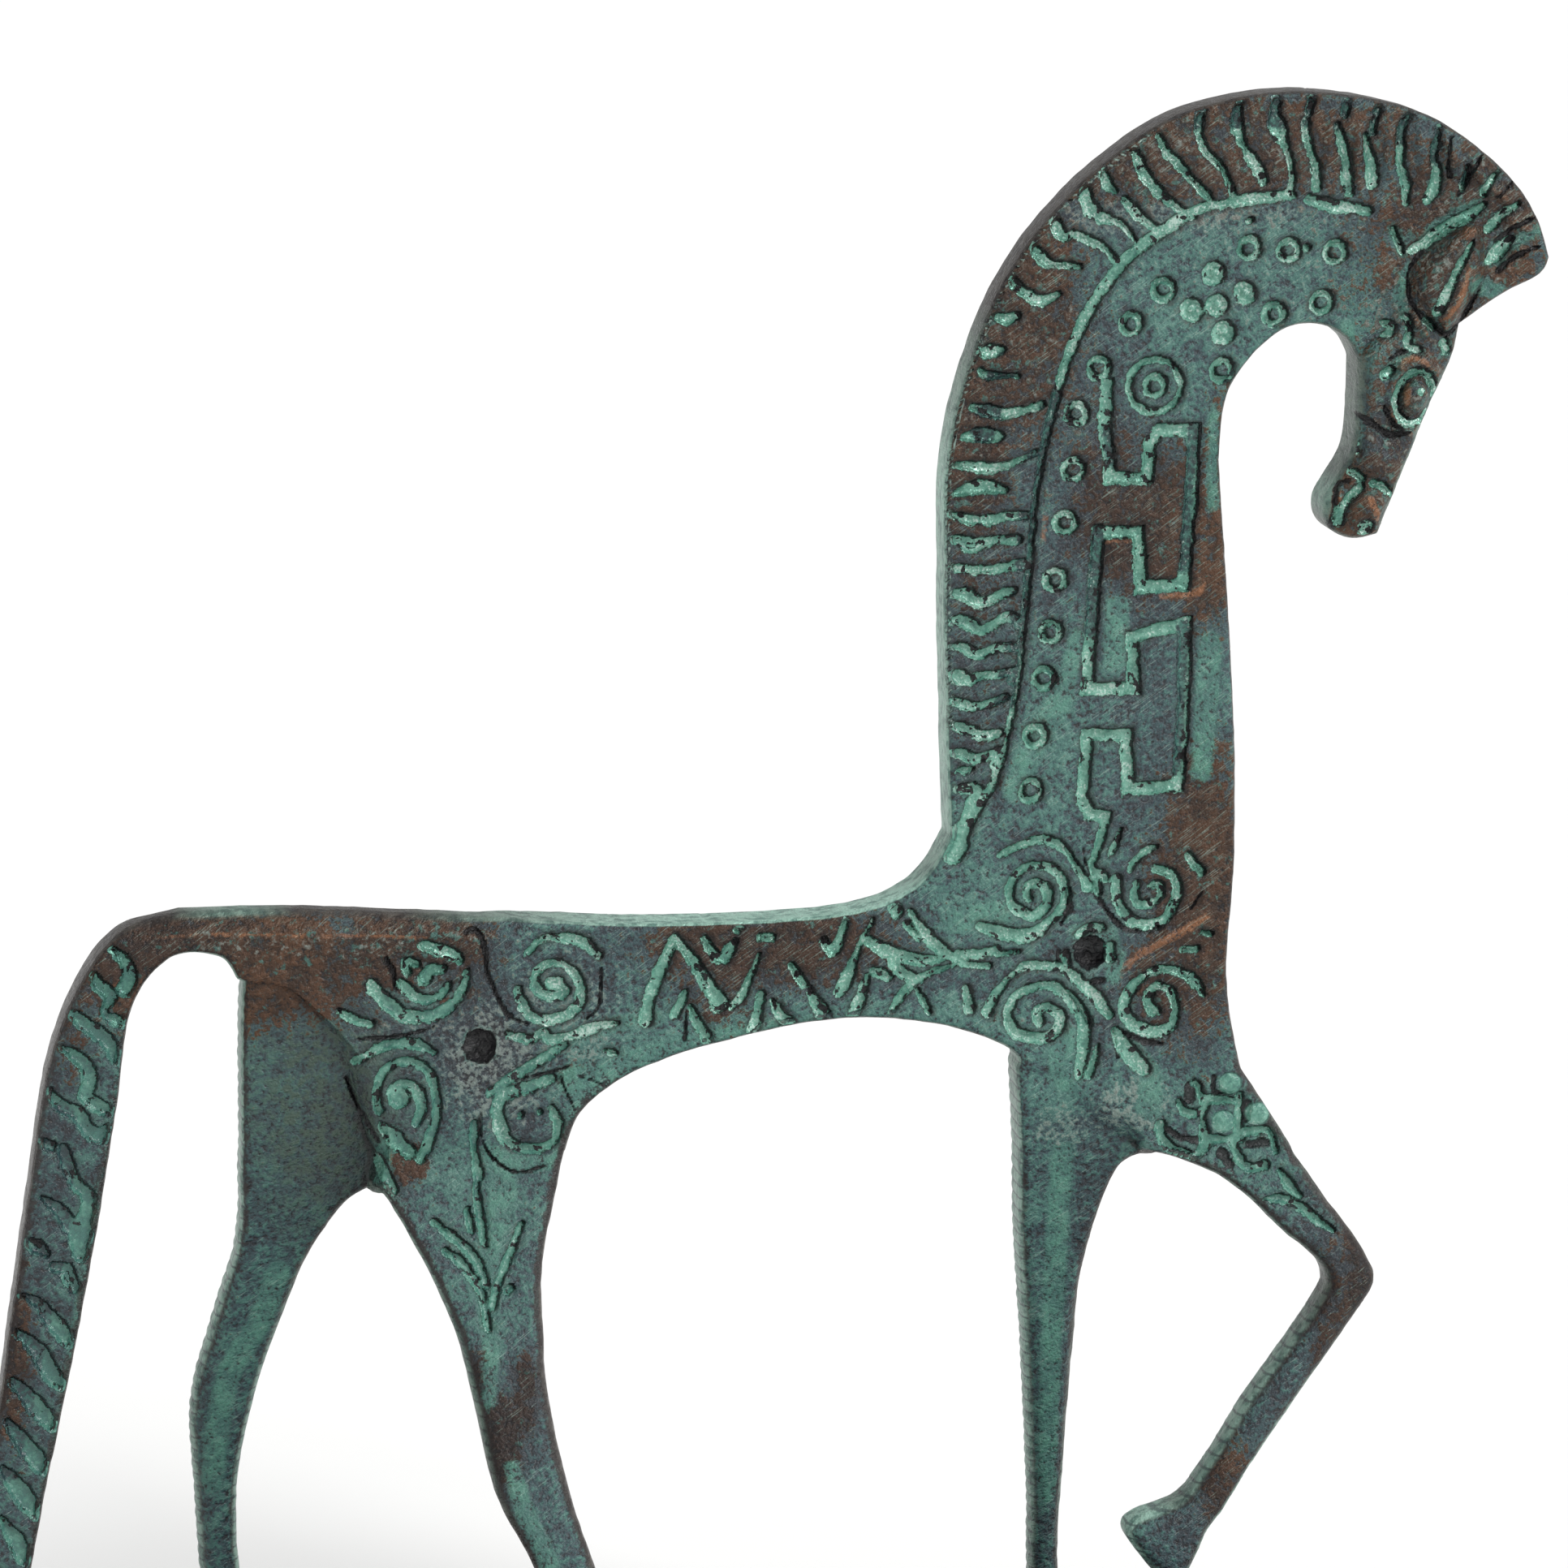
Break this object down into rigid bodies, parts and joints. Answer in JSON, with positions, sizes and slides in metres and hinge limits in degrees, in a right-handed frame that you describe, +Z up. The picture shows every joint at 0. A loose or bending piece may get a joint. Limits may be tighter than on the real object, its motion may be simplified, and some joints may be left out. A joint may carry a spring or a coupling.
{
  "type": "bronze horse sculpture on a plinth",
  "caption": "Flat cast bronze horse walking with one foreleg raised, engraved with spirals, rings, a meander and a banded mane, on a low rectangular plinth.",
  "frame": {"origin": "centre of the plinth's underside", "axes": "+X the way the horse faces, +Z up, -Y the side that the picture shows"},
  "size_m": [0.249, 0.08, 0.2637],
  "materials": {
    "patinated_bronze": "mottled verdigris over dark brown bronze, green in the engraving and worn bare on high edges",
    "plinth_bronze": "dark brown patinated bronze with a little verdigris"
  },
  "bodies": {
    "root": {"horse": "patinated_bronze", "plinth": "plinth_bronze"}
  },
  "joints": []
}
